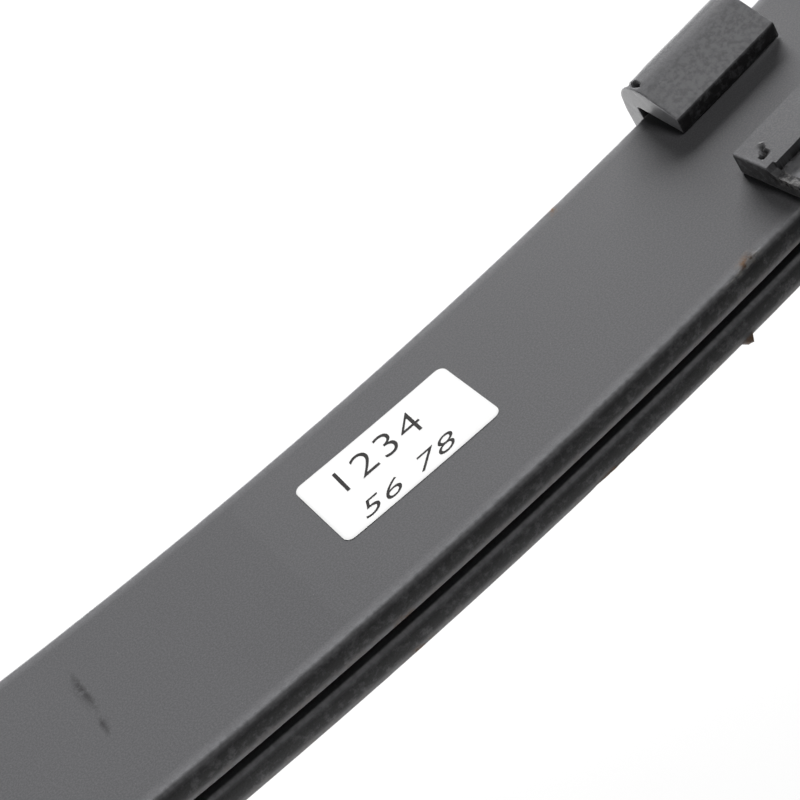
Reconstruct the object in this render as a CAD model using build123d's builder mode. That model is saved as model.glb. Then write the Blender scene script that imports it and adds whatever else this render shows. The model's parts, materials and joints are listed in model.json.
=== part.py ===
from build123d import *
from math import cos, degrees, pi, radians, sin
import os

# A semi-elliptic leaf spring for the rear axle of a van: two full-length arched leaves,
# a short helper leaf, rolled eyes with rubber bushes, and rebound clips.
#
# +X runs along the spring to its front eye, +Y across it, +Z up. The origin is on the
# centre bolt's axis, at the bottom face of the helper leaf, where the axle pad sits.
# Millimetres and degrees. "Arc" is a distance along the main leaf's top face from the
# bolt axis, and "rise" is a distance out from that face, along its normal.

os.makedirs("parts", exist_ok=True)

# ---------------------------------------------------------------- driving dimensions
leaf_width = 80.0
leaf_thickness = 10.0
corner_radius = 2.5          # rolled corners of the spring bar
side_bulge = 0.8             # how far the bar's sides swell at mid thickness
arc_radius = 1585.0          # top face of the main leaf, with no load on it
leaf_gap = 3.4               # between the main leaf and the second leaf
seat_half = 65.0             # half of the straight stretch over the axle

eye_arc = {"front": 700.0, "rear": 760.0}       # where each eye starts to roll
second_leaf_short = 75.0     # how much sooner than the eye the second leaf ends
second_leaf_trim = 12.0      # how much its corners are cut off
eye_bore_radius = 24.0
eye_roll = 305.0             # degrees that the leaf turns round the eye

helper_thickness = 14.0
helper_half = 215.0
helper_radius = 8000.0
helper_gap = 8.0
helper_leaf_trim = 16.0
helper_pad_arc = 197.0       # rubber stop under the second leaf, over the helper's tip
helper_pad_length = 30.0
helper_pad_width = 60.0
helper_pad_height = 4.2
helper_peg_radius = 5.8
peg_clearance = 0.2          # all round a rubber peg in its hole

bolt_radius = 6.0            # M12 centre bolt
bolt_hole_radius = 6.5
nut_flats = 19.0
nut_height = 10.8
locating_head_radius = 10.0
locating_head_height = 9.0
bolt_stub = 4.0              # thread that shows past the nut
spacer_margin = 3.0          # leaf left bare round each spacer

clip_arc = {"front": 498.0, "rear": 555.0}      # middle of each rebound clip
clip_width = 45.0            # along the spring
clip_thickness = 7.6
clip_offset = 2.25           # each tab stands this far along from the clip's middle
clip_side_gap = 0.5
clip_tab_gap = 0.4
flat_tab_top = 8.7
press_pocket_start = 27.0    # where the press tool's pocket in the flat tab begins
press_pocket_depth = 3.5
press_pocket_wall = 3.0
rivet_radius = 5.0
rivet_head_radius = 9.0
rivet_head_height = 4.0
rivet_button_radius = 7.5    # the end that is closed up, between the leaves
rivet_button_height = 1.8

pad_length = 48.0
pad_width = 66.0
pad_end = 8.0                # bare leaf left beyond the pad
peg_radius = 7.8
face_gap = 0.05              # between parts that slide or are moulded in place

bush_wall = 2.5
bush_length = 78.0
sleeve_radius = 12.0
sleeve_bore_radius = 8.15    # clears an M16 bolt
sleeve_length = 86.0

label_length = 59.3
label_width = 32.7
label_corner = 2.8
label_thickness = 0.15
label_arc = 340.0
label_offset = 4.1
label_turn = -1.8

# ---------------------------------------------------------------- heights worked out
stack_under_second = helper_thickness + helper_gap
second_top = stack_under_second + leaf_thickness
main_top = second_top + leaf_gap + leaf_thickness
second_rise = second_top - main_top
second_bottom_rise = second_rise - leaf_thickness
sides = {"front": 1, "rear": -1}
second_arc = {end: arc - second_leaf_short for end, arc in eye_arc.items()}


def turn_at(arc):
    """Degrees that the main leaf has curved up by at this arc."""
    return degrees((arc - seat_half) / arc_radius)


def station(end, arc, rise=0.0):
    """A plane square to the leaves, its X across the spring and its Y along the normal."""
    side, angle = sides[end], radians(turn_at(arc))
    out = arc_radius - rise
    origin = (side * (seat_half + out * sin(angle)), 0, main_top + arc_radius - out * cos(angle))
    return Plane(origin, x_dir=(0, side, 0), z_dir=(side * cos(angle), 0, sin(angle)))


def top_plane(end, arc, rise=0.0):
    """A plane on the leaf at this arc, its X along the spring outwards and its Z the normal."""
    square = station(end, arc, rise)
    return Plane(square.origin, x_dir=square.z_dir, z_dir=square.y_dir)


def normal_axis(end, arc):
    """The main leaf's normal at this arc."""
    square = station(end, arc)
    return Axis(square.origin, square.y_dir)


def arch_axis(end, radius=arc_radius, top=main_top):
    """The axis that a leaf with this top face curves about, turning from the seat outwards."""
    side = sides[end]
    return Axis((side * seat_half, 0, top + radius), (0, -side, 0))


def bar_section(top, thickness=leaf_thickness, width=leaf_width):
    """The rolled bar's section: flat faces, round corners, and sides that swell a little."""
    half, edge = width / 2, width / 2 - side_bulge
    with BuildLine() as outline:
        Line((-edge, top), (edge, top))
        ThreePointArc((edge, top), (half, top - thickness / 2), (edge, top - thickness))
        Line((edge, top - thickness), (-edge, top - thickness))
        ThreePointArc((-edge, top - thickness), (-half, top - thickness / 2), (-edge, top))
    make_face(outline.edges())
    fillet(vertices(), corner_radius)


def arched_leaf(reach, radius, top, thickness):
    """One bar, straight over the seat and curved up to each side as far as reach says."""
    with BuildSketch(Plane.YZ) as middle:
        bar_section(top, thickness)
    extrude(middle.sketch, amount=seat_half, both=True)
    for end, side in sides.items():
        seat_end = Plane((side * seat_half, 0, 0), x_dir=(0, side, 0), z_dir=(side, 0, 0))
        with BuildSketch(seat_end) as start:
            bar_section(top, thickness)
        sweep_angle = degrees((reach[end] - seat_half) / radius)
        revolve(start.sketch, axis=arch_axis(end, radius, top), revolution_arc=sweep_angle)


def trim_corners(end, arc, rise, thickness, cut):
    """Takes the two corners off a leaf's end."""
    for across in (-leaf_width / 2, leaf_width / 2):
        with BuildSketch(top_plane(end, arc, rise)) as corner:
            with Locations((0, across)):
                Rectangle(cut * 2**0.5, cut * 2**0.5, rotation=45)
        extrude(corner.sketch, amount=2 * thickness, both=True, mode=Mode.SUBTRACT)


def seat_hole(radius):
    """The hole for the centre bolt, through the whole stack."""
    with BuildSketch(Plane.XY) as hole:
        Circle(radius)
    extrude(hole.sketch, amount=main_top, mode=Mode.SUBTRACT)


def curved_slab(end, arc, length, width, top, height, corner):
    """A thin slab that lies along the leaves, with its upright corners rounded."""
    start, stop = arc - length / 2, arc + length / 2
    with BuildSketch(station(end, start)) as section:
        with Locations((0, top - height / 2)):
            Rectangle(width, height)
    revolve(section.sketch, axis=arch_axis(end), revolution_arc=turn_at(stop) - turn_at(start))
    fillet(edges().filter_by(lambda edge: abs(edge.length - height) < 0.01), corner)


def peg(end, arc, start, stop, radius, lead):
    """A round peg along the leaves' normal, from one rise to another, with a lead at its tip."""
    with BuildSketch(top_plane(end, arc, start)) as section:
        Circle(radius)
    extrude(section.sketch, amount=stop - start)
    tip = faces().sort_by(normal_axis(end, arc))[0 if stop < start else -1]
    chamfer(tip.edges(), lead)


def station_hole(end, arc, radius):
    """A hole square through the second leaf."""
    with BuildSketch(top_plane(end, arc, second_rise + 1)) as hole:
        Circle(radius)
    extrude(hole.sketch, amount=-(leaf_thickness + 3), mode=Mode.SUBTRACT)


def finish(piece, name):
    """Names a finished piece and writes it out."""
    piece.part.label = name
    export_step(piece.part, f"parts/{name}.step")


# ---------------------------------------------------------------- the leaves
# The main leaf, with an upturned eye rolled at each end
with BuildPart() as main_leaf:
    arched_leaf(eye_arc, arc_radius, main_top, leaf_thickness)
    for end, side in sides.items():
        eye_centre = station(end, eye_arc[end], eye_bore_radius).origin
        with BuildSketch(station(end, eye_arc[end])):
            bar_section(0)
        revolve(axis=Axis(eye_centre, (0, -side, 0)), revolution_arc=eye_roll)
    seat_hole(bolt_hole_radius)
finish(main_leaf, "main_leaf")

pad_arc = {end: arc - pad_end - pad_length / 2 for end, arc in second_arc.items()}
second_reach = {
    end: seat_half + (arc - seat_half) * (1 - second_rise / arc_radius)
    for end, arc in second_arc.items()
}

# The second leaf follows the main leaf at an even gap and stops short of the eyes
with BuildPart() as second_leaf:
    arched_leaf(second_reach, arc_radius - second_rise, second_top, leaf_thickness)
    seat_hole(bolt_hole_radius)
    for end in sides:
        trim_corners(end, second_arc[end], second_rise, leaf_thickness, second_leaf_trim)
        station_hole(end, clip_arc[end], rivet_radius + face_gap)
        station_hole(end, pad_arc[end], peg_radius + peg_clearance)
        station_hole(end, helper_pad_arc, helper_peg_radius + peg_clearance)
finish(second_leaf, "second_leaf")

# The helper leaf is thicker and flatter, and only works under a heavy load
with BuildPart() as helper_leaf:
    reach = {"front": helper_half, "rear": helper_half}
    arched_leaf(reach, helper_radius, helper_thickness, helper_thickness)
    seat_hole(bolt_hole_radius)
    for end in sides:
        trim_corners(end, helper_half, -main_top, main_top, helper_leaf_trim)
finish(helper_leaf, "helper_leaf")

# ---------------------------------------------------------------- clamped at the seat
spacers = {
    "helper_spacer": (helper_thickness, helper_gap),
    "leaf_spacer": (second_top, leaf_gap),
}
for name, (bottom, height) in spacers.items():
    with BuildPart() as spacer:
        with BuildSketch(Plane.XY.offset(bottom)):
            RectangleRounded(2 * seat_half - 4, leaf_width - 2 * spacer_margin, 5)
            Circle(bolt_hole_radius, mode=Mode.SUBTRACT)
        extrude(amount=height)
    finish(spacer, name)

bolt_top = main_top + nut_height + bolt_stub
with BuildPart() as centre_bolt:
    with BuildSketch(Plane.XY.offset(-locating_head_height)):
        Circle(locating_head_radius)
    extrude(amount=locating_head_height)
    chamfer(faces().sort_by(Axis.Z)[0].edges(), 1.5)
    with BuildSketch(Plane.XY):
        Circle(bolt_radius)
    extrude(amount=bolt_top)
    chamfer(faces().sort_by(Axis.Z)[-1].edges(), 1)
finish(centre_bolt, "centre_bolt")

with BuildPart() as centre_nut:
    with BuildSketch(Plane.XY.offset(main_top)):
        RegularPolygon(nut_flats / 2, 6, major_radius=False)
        Circle(bolt_radius, mode=Mode.SUBTRACT)
    extrude(amount=nut_height)
    # A cone at each end takes the corners off, as on a real nut
    nut_corner = nut_flats / 2 / cos(pi / 6)
    cone_drop = 1.4
    cone_radius = nut_corner - 2.2
    with BuildSketch(Plane.XZ):
        with BuildLine():
            Polyline(
                (bolt_radius, main_top),
                (cone_radius, main_top),
                (nut_corner, main_top + cone_drop),
                (nut_corner, main_top + nut_height - cone_drop),
                (cone_radius, main_top + nut_height),
                (bolt_radius, main_top + nut_height),
                close=True,
            )
        make_face()
    revolve(axis=Axis.Z, mode=Mode.INTERSECT)
finish(centre_nut, "centre_nut")

# ---------------------------------------------------------------- pads, bushes and clips
base_rise = second_bottom_rise - face_gap
leg_inner = leaf_width / 2 + clip_side_gap
leg_outer = leg_inner + clip_thickness

# The strap's outline, seen along the spring, as corners and their radii. The tab on the
# +X side of this outline slopes down to its tip, and the other one lies flat.
strap_bottom = base_rise - clip_thickness
strap_outline = [
    ((-11.2, clip_tab_gap), 0.4),
    ((-leg_inner, clip_tab_gap), 0.8),
    ((-leg_inner, base_rise), 3),
    ((leg_inner, base_rise), 3),
    ((leg_inner - 0.5, 4.3), 0.6),
    ((19.2, clip_tab_gap), 0.4),
    ((19.1, 6.5), 0.6),
    ((34, 13.2), 13.6),
    ((leg_outer - 2.4, 12.8), 9.7),
    ((leg_outer, 0), 11.7),
    ((leg_outer, strap_bottom), 9.7),
    ((-leg_outer, strap_bottom), 9.7),
    ((-leg_outer, flat_tab_top), 7.3),
    ((-11, flat_tab_top), 0.5),
]
beyond = leg_outer + 5       # clear of the strap's sides

for end, side in sides.items():
    arc = clip_arc[end]
    square = station(end, arc)

    # The strap crosses under the leaves a little askew, so that its two legs and tabs,
    # which are square, stand an offset along from each other.
    with BuildPart() as clip_reach:
        leg_rise = (second_rise + base_rise) / 2
        half_strap = clip_width / 2
        with BuildSketch(top_plane(end, arc, leg_rise)) as tabs:
            for facing in (-1, 1):
                with Locations((facing * clip_offset, facing * beyond / 2)):
                    Rectangle(clip_width, beyond)
        extrude(tabs.sketch, amount=beyond)
        with BuildSketch(top_plane(end, arc, leg_rise)) as base:
            with BuildLine():
                Polyline(
                    (-half_strap - clip_offset, -beyond),
                    (-half_strap - clip_offset, -leg_inner),
                    (-half_strap + clip_offset, leg_inner),
                    (-half_strap + clip_offset, beyond),
                    (half_strap + clip_offset, beyond),
                    (half_strap + clip_offset, leg_inner),
                    (half_strap - clip_offset, -leg_inner),
                    (half_strap - clip_offset, -beyond),
                    close=True,
                )
            make_face()
        extrude(base.sketch, amount=-beyond)

    with BuildPart() as clip_strap:
        with BuildSketch(square):
            with BuildLine():
                points = [point for point, _ in strap_outline]
                FilletPolyline(*points, radius=[r for _, r in strap_outline], close=True)
            make_face()
        extrude(amount=clip_width, both=True)
        add(clip_reach.part, mode=Mode.INTERSECT)
        # the pocket that the press tool left in the flat tab, open to the side
        with BuildSketch(top_plane(end, arc, flat_tab_top - press_pocket_depth)):
            with Locations((-clip_offset, -(press_pocket_start + beyond) / 2)):
                Rectangle(clip_width - 2 * press_pocket_wall, beyond - press_pocket_start)
        extrude(amount=2 * press_pocket_depth, mode=Mode.SUBTRACT)
        with BuildSketch(top_plane(end, arc, strap_bottom - 1)):
            Circle(rivet_radius)
        extrude(amount=clip_thickness + 2, mode=Mode.SUBTRACT)
    finish(clip_strap, f"{end}_clip_strap")

    with BuildPart() as clip_rivet:
        with BuildSketch(top_plane(end, arc, strap_bottom)):
            Circle(rivet_radius)
        extrude(amount=clip_thickness + leaf_thickness + 2 * face_gap)
        with BuildSketch(top_plane(end, arc, strap_bottom)):
            Circle(rivet_head_radius)
        extrude(amount=-rivet_head_height)
        fillet(faces().sort_by(normal_axis(end, arc))[0].edges(), 3)
        with BuildSketch(top_plane(end, arc, second_rise + face_gap)):
            Circle(rivet_button_radius)
        extrude(amount=rivet_button_height)
        fillet(faces().sort_by(normal_axis(end, arc))[-1].edges(), 0.8)
    finish(clip_rivet, f"{end}_clip_rivet")

    # A wear pad keeps the two leaves apart near the second leaf's end
    pad_top = -leaf_thickness - face_gap
    pad_height = leaf_gap - 2 * face_gap
    with BuildPart() as tip_pad:
        curved_slab(end, pad_arc[end], pad_length, pad_width, pad_top, pad_height, 6)
        peg_end = second_bottom_rise - 4
        peg(end, pad_arc[end], pad_top - pad_height / 2, peg_end, peg_radius, 1.2)
    finish(tip_pad, f"{end}_tip_pad")

    # A rubber stop under the second leaf meets the helper leaf's tip under a heavy load
    stop_top = second_bottom_rise - face_gap
    with BuildPart() as helper_pad:
        curved_slab(
            end, helper_pad_arc, helper_pad_length, helper_pad_width,
            stop_top, helper_pad_height, 8,
        )
        peg(end, helper_pad_arc, stop_top - 2, second_rise + 1.5, helper_peg_radius, 0.8)
    finish(helper_pad, f"{end}_helper_pad")

    # The bush in each eye: a steel tube, moulded rubber, and a sleeve for the bolt
    eye = Plane(station(end, eye_arc[end], eye_bore_radius).origin, z_dir=(0, 1, 0))
    tube_outer = eye_bore_radius - face_gap
    tube_inner = tube_outer - bush_wall
    with BuildPart() as bush_tube:
        with BuildSketch(eye):
            Circle(tube_outer)
            Circle(tube_inner, mode=Mode.SUBTRACT)
        extrude(amount=bush_length / 2, both=True)
        chamfer(edges().filter_by(GeomType.CIRCLE), 0.5)
    finish(bush_tube, f"{end}_bush_tube")

    with BuildPart() as bush_rubber:
        rubber_half, crown = bush_length / 2 - 1.5, 4.0
        inner = sleeve_radius + face_gap
        with BuildSketch(Plane(eye.origin, x_dir=(0, 0, 1), z_dir=(1, 0, 0))):
            with BuildLine():
                Line((inner, -rubber_half - crown), (inner, rubber_half + crown))
                Spline(
                    (inner, rubber_half + crown),
                    ((inner + tube_inner) / 2, rubber_half),
                    (tube_inner, rubber_half),
                )
                Line((tube_inner, rubber_half), (tube_inner, -rubber_half))
                Spline(
                    (tube_inner, -rubber_half),
                    ((inner + tube_inner) / 2, -rubber_half),
                    (inner, -rubber_half - crown),
                )
            make_face()
        revolve(axis=Axis(eye.origin, (0, 1, 0)))
    finish(bush_rubber, f"{end}_bush_rubber")

    with BuildPart() as bush_sleeve:
        with BuildSketch(eye):
            Circle(sleeve_radius)
            Circle(sleeve_bore_radius, mode=Mode.SUBTRACT)
        extrude(amount=sleeve_length / 2, both=True)
        chamfer(edges().filter_by(GeomType.CIRCLE), 0.6)
    finish(bush_sleeve, f"{end}_bush_sleeve")

# ---------------------------------------------------------------- the paper label
# It is cut from a thin skin lying on the main leaf's curved top face.
with BuildPart() as label:
    first, last = label_arc - label_length, label_arc + label_length
    with BuildSketch(station("front", first)):
        with Locations((0, label_thickness / 2)):
            Rectangle(leaf_width, label_thickness)
    revolve(axis=arch_axis("front"), revolution_arc=turn_at(last) - turn_at(first))
    with BuildSketch(top_plane("front", label_arc, -5)):
        with Locations(Location((0, label_offset), label_turn)):
            RectangleRounded(label_length, label_width, label_corner)
    extrude(amount=20, mode=Mode.INTERSECT)
finish(label, "label")
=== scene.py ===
import json
from math import asin, atan, cos, pi, radians, sin

import bmesh
import bpy
import numpy as np
from mathutils import Matrix, Vector, noise


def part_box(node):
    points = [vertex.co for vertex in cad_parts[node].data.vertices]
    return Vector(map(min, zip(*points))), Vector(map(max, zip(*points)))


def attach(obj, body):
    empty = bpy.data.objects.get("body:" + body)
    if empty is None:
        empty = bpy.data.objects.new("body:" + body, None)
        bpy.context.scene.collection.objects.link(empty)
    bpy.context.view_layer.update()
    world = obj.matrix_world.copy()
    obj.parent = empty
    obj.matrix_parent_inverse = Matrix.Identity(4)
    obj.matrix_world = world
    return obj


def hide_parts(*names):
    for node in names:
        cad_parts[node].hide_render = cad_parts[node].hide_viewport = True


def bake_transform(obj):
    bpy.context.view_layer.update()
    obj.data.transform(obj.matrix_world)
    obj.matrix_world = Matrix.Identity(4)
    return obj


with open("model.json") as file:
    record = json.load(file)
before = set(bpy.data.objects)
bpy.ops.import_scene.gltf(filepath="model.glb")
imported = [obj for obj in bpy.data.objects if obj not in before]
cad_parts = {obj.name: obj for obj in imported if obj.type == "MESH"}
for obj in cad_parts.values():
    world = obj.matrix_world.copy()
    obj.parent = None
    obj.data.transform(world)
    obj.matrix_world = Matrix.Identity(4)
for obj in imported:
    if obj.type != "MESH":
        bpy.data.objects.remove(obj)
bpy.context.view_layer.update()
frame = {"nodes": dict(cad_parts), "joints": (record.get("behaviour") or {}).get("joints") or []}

# The looks of a van's leaf spring. Shapes are worked out in millimetres and written in
# metres. "Arc" is a distance along the main leaf's top face from the bolt's axis, "rise"
# is a distance out from that face, and "across" is a distance across the leaves.
MM = 0.001


def low(node):
    """The low corner of a CAD node's box, in millimetres."""
    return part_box(node)[0] / MM


def high(node):
    """The high corner of a CAD node's box, in millimetres."""
    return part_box(node)[1] / MM


def joint_place(name):
    """Where a joint turns, in millimetres."""
    found = next(j for j in frame["joints"] if j["name"] == name)
    return Vector(found["pos_m"]) / MM


# ---------------------------------------------------------------- sizes, from the frame
SIDES = {"front": 1, "rear": -1}
HALF_WIDTH = high("main_leaf").y
SEAT_HALF = high("leaf_spacer").x + 2            # the leaves lie flat as far as this
SECOND_TOP = low("leaf_spacer").z
MAIN_BOTTOM = high("leaf_spacer").z
MAIN_TOP = low("centre_nut").z
THICKNESS = MAIN_TOP - MAIN_BOTTOM
SECOND_RISE = SECOND_TOP - MAIN_TOP
BUSH_ROOM = 0.05             # between the bush and the eye
EYE_RADIUS = (high("front_bush_tube").x - low("front_bush_tube").x) / 2 + BUSH_ROOM
EYE_ROLL = radians(305)      # how far round the bush the leaf's end is rolled
FLOOR = low("centre_bolt").z

# The arch's radius and where each eye starts to roll follow from the eyes' centres.
eye_centre = {end: joint_place(f"{end}_bush_turn") for end in SIDES}
out, up = eye_centre["front"].x - SEAT_HALF, eye_centre["front"].z - MAIN_TOP
ARCH_RADIUS = EYE_RADIUS + out / sin(2 * atan((up - EYE_RADIUS) / out))
EYE_ARC = {
    end: SEAT_HALF
    + ARCH_RADIUS * asin((abs(place.x) - SEAT_HALF) / (ARCH_RADIUS - EYE_RADIUS))
    for end, place in eye_centre.items()
}
SECOND_SHORT = 75.0          # how much sooner than the eye the second leaf ends
CORNER_RADIUS = 1.7          # a little sharper than the CAD bar's corners
SIDE_BULGE = 0.8             # how far the bar's sides swell out between the corners
CLIP_ARC = {"front": 498.0, "rear": 555.0}
SEAM_ARC = 197.0             # where the inner and the outer part of each half meet
INNER_BEND = (SEAT_HALF, 180.0)
OUTER_BEND = {"front": (214.0, 470.0), "rear": (214.0, 525.0)}
# the grime column also carries painted shade
RUST_MARK, BARE_MARK, GRIME_AND_SHADE_MARK = 0, 1, 2       # the columns of a piece's marks


# ---------------------------------------------------------------- places on the leaves
def leaf_points(end, arc, across, rise):
    """Points on one half of the spring, from arrays of arc, across and rise."""
    angle = np.clip(arc - SEAT_HALF, 0, None) / ARCH_RADIUS
    reach = ARCH_RADIUS - rise
    x = np.where(arc < SEAT_HALF, arc, SEAT_HALF + reach * np.sin(angle))
    z = MAIN_TOP + ARCH_RADIUS - reach * np.cos(angle)
    return np.stack([SIDES[end] * x, across + 0 * x, z], -1)


def eye_points(end, turn, across, rise):
    """Points on the part of the main leaf that turns round the eye."""
    side, start = SIDES[end], (EYE_ARC[end] - SEAT_HALF) / ARCH_RADIUS
    centre = eye_centre[end]
    reach = EYE_RADIUS - rise
    x = side * centre.x + reach * np.sin(start + turn)
    z = centre.z - reach * np.cos(start + turn)
    return np.stack([side * x, across + 0 * x, z], -1)


def station(end, arc):
    """The main leaf's top face at one arc: its middle point, outward tangent and normal."""
    side, angle = SIDES[end], (arc - SEAT_HALF) / ARCH_RADIUS
    middle = leaf_points(end, np.array(arc), np.array(0.0), np.array(0.0))
    tangent = np.array([side * cos(angle), 0, sin(angle)])
    normal = np.array([-side * sin(angle), 0, cos(angle)])
    return middle, tangent, normal


def ripple(points, size, seed=0.0):
    """Smooth noise from -1 to 1 at each point, with bumps of about this size."""
    return np.array([noise.noise(Vector(p) / size + Vector((seed, seed, seed))) for p in points])


def smooth(value, start, stop):
    """Eases from 0 at start to 1 at stop."""
    t = np.clip((value - start) / (stop - start), 0, 1)
    return t * t * (3 - 2 * t)


def spot(points, centre, size):
    """1 at a centre, easing to 0 at this distance from it along each axis."""
    away = np.linalg.norm((points - np.array(centre)) / np.array(size), axis=-1)
    return 1 - smooth(away, 0.3, 1.0)


def strongest(points, spots):
    """The strongest of some spots, each a centre and a size, at every point."""
    found = np.zeros(len(points))
    for centre, size in spots:
        found = np.maximum(found, spot(points, centre, size))
    return found


# ---------------------------------------------------------------- meshes
def add_piece(name, points, faces, material, place=None, edge=None, marks=None, sharp=40):
    """A mesh piece from points in millimetres. place, edge and marks feed its material.

    place is where each point lies on the flat, unbent piece, edge weighs the light or shade
    painted there, and marks holds its rust, bare metal, and grime with painted shade, each
    from 0 to 1.
    """
    mesh = bpy.data.meshes.new(name)
    mesh.from_pydata([tuple(p) for p in points * MM], [], faces)
    mesh.validate()
    shape = bmesh.new()
    shape.from_mesh(mesh)
    bmesh.ops.recalc_face_normals(shape, faces=shape.faces)
    shape.to_mesh(mesh)
    shape.free()
    mesh.shade_smooth()
    mesh.set_sharp_from_angle(angle=radians(sharp))
    fields = (
        ("place", "FLOAT_VECTOR", place),
        ("edge", "FLOAT", edge),
        ("marks", "FLOAT_VECTOR", marks),
    )
    for field, kind, values in fields:
        if values is not None:
            attribute = mesh.attributes.new(field, kind, "POINT")
            key = "value" if kind == "FLOAT" else "vector"
            attribute.data.foreach_set(key, np.asarray(values, np.float32).ravel())
    mesh.materials.append(material)
    piece = bpy.data.objects.new(name, mesh)
    bpy.context.scene.collection.objects.link(piece)
    return piece


def tube_faces(rings, around, caps=True):
    """Quads between rings of points and, unless told not to, a flat cap at each end."""
    faces = []
    for i in range(rings - 1):
        here, there = i * around, (i + 1) * around
        for j in range(around):
            k = (j + 1) % around
            faces.append((here + j, here + k, there + k, there + j))
    if caps:
        faces.append(tuple(range(around)))
        faces.append(tuple((rings - 1) * around + j for j in range(around)))
    return faces


CORNER_LINE_AT = (1.05, 0.45)     # the line along a corner where light is painted and the corner waves: in from the side, and down
CORNER_LINE_SPREAD = (0.3, 1.65)  # how far from that line it starts to fade, and is gone
SIDE_SHADE_AND_GRIME = 0.62            # how much painted shade, mottled like grime, darkens the sides of the leaves
TIP_THINNER = 0.985          # the second leaf's tapered tip is a little thinner than the bar


def bar_section():
    """The bar's outline as (across, depth), and its outward normals, clockwise from the top."""
    half = THICKNESS / 2
    side_radius = (half**2 + SIDE_BULGE**2) / (2 * SIDE_BULGE)
    side_centre = HALF_WIDTH - side_radius
    reach = side_radius - CORNER_RADIUS
    lean = asin((half - CORNER_RADIUS) / reach)
    corner = side_centre + reach * cos(lean)
    # a quarter of the outline, from the bar's middle: half the top, a corner, half the side
    angles = np.linspace(pi / 2, lean, 9)
    flat = [(across, half, 0.0, 1.0) for across in np.linspace(0, corner, 13)[:-1]]
    bend = [
        (corner + CORNER_RADIUS * cos(a), half + CORNER_RADIUS * (sin(a) - 1), cos(a), sin(a))
        for a in angles
    ]
    side = [
        (side_centre + side_radius * cos(a), side_radius * sin(a), cos(a), sin(a))
        for a in np.linspace(lean, 0, 5)[1:]
    ]
    quarter = np.array(flat + bend + side)
    below = quarter[-2::-1] * (1, -1, 1, -1)
    right = np.concatenate([quarter, below])
    left = right[-2:0:-1] * (-1, 1, -1, 1)
    outline = np.concatenate([right, left])
    return outline[:, :2] - (0, half), outline[:, 2:]


def edge_closeness(across, depth):
    """1 on a line along the bar's long corners, easing to 0 a few millimetres away: it weighs the
    painted highlight on the top corners and the painted reflection on the lower ones.
    """
    to_side = HALF_WIDTH - np.abs(across)
    to_face = np.minimum(np.abs(depth), np.abs(depth + THICKNESS))
    from_line = np.hypot(to_side - CORNER_LINE_AT[0], to_face - CORNER_LINE_AT[1])
    return 1 - smooth(from_line, *CORNER_LINE_SPREAD)


def leaf_waves(place):
    """How far the bar's corners stand out of their ideal outline: small waves, by place."""
    wave = 0.05 * ripple(place, 26.0) + 0.035 * ripple(place, 5.0, 7.0)
    return edge_closeness(place[:, 1], place[:, 2]) * wave


def bar_piece(name, end, arcs, rise, material, marks, taper=None, knocks=None, points=leaf_points):
    """Part of a leaf: the bar's section lofted through these arcs, closed at both ends."""
    section, normals = bar_section()
    count = len(section)
    arc = np.repeat(arcs, count)
    across, depth = np.tile(section, (len(arcs), 1)).T
    place = np.stack([SIDES[end] * arc, across, depth + rise], -1)
    local = np.stack([SIDES[end] * arc, across, depth], -1)
    push = leaf_waves(local) + (knocks(local) if knocks else 0)
    outward = np.tile(normals, (len(arcs), 1))
    across, depth = across + outward[:, 0] * push, depth + outward[:, 1] * push
    if taper is not None:
        shrink = np.repeat(taper, count)
        across = across * shrink
        depth = -THICKNESS / 2 + (depth + THICKNESS / 2) * np.where(shrink < 1, TIP_THINNER, 1)
    shape = points(end, arc, across, depth + rise)
    edge, fields = edge_closeness(place[:, 1], depth), marks(place)

    # the sides get painted shade, mottled like grime, and their lower corners a painted reflection with
    # a trace of rust
    side = smooth(np.abs(place[:, 1]), HALF_WIDTH - 2.0, HALF_WIDTH - 0.5)
    lower_lip = side * smooth(-depth, THICKNESS - 3.8, THICKNESS - 1.8)
    edge = np.maximum(edge, 0.5 * lower_lip)
    grime_and_shade = SIDE_SHADE_AND_GRIME * side * (1 - edge) * (1 - lower_lip)
    fields[:, RUST_MARK] = np.maximum(fields[:, RUST_MARK], 0.22 * lower_lip)
    fields[:, GRIME_AND_SHADE_MARK] = np.maximum(fields[:, GRIME_AND_SHADE_MARK], grime_and_shade)
    return add_piece(name, shape, tube_faces(len(arcs), count), material, place, edge, fields)


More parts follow.
